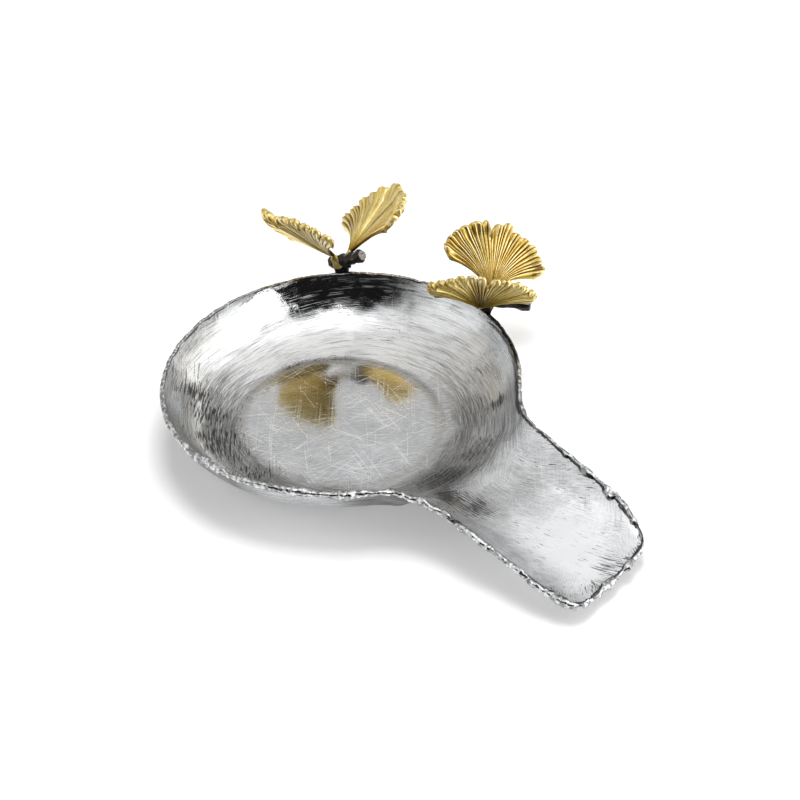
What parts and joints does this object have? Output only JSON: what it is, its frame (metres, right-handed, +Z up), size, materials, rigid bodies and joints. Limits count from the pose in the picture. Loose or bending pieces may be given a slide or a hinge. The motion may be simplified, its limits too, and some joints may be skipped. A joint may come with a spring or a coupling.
{
  "type": "spoon rest",
  "caption": "Shallow oval spoon rest of brushed metal with a trough handle, a lumpy beaded edge and gilt fan-winged butterflies on twigs fixed to its back rim.",
  "frame": {"origin": "centre of the bowl's flat base, on the surface it stands on", "axes": "+X from the bowl out along the handle, +Y across it towards the butterflies' side, +Z up"},
  "size_m": [0.2262, 0.1785, 0.0584],
  "materials": {
    "nickel": "bright plate, brushed and scratched by hand",
    "gilt": "satin gilt with darker recesses",
    "dark_bronze": "oxidised nearly black"
  },
  "bodies": {
    "root": {"dish": "nickel", "rim_bead": "nickel", "left_twig": "dark_bronze", "left_inner_wing": "gilt", "left_outer_wing": "gilt", "left_rivet": "dark_bronze", "right_twig": "dark_bronze", "right_inner_wing": "gilt", "right_outer_wing": "gilt", "right_rivet": "dark_bronze"}
  },
  "joints": []
}
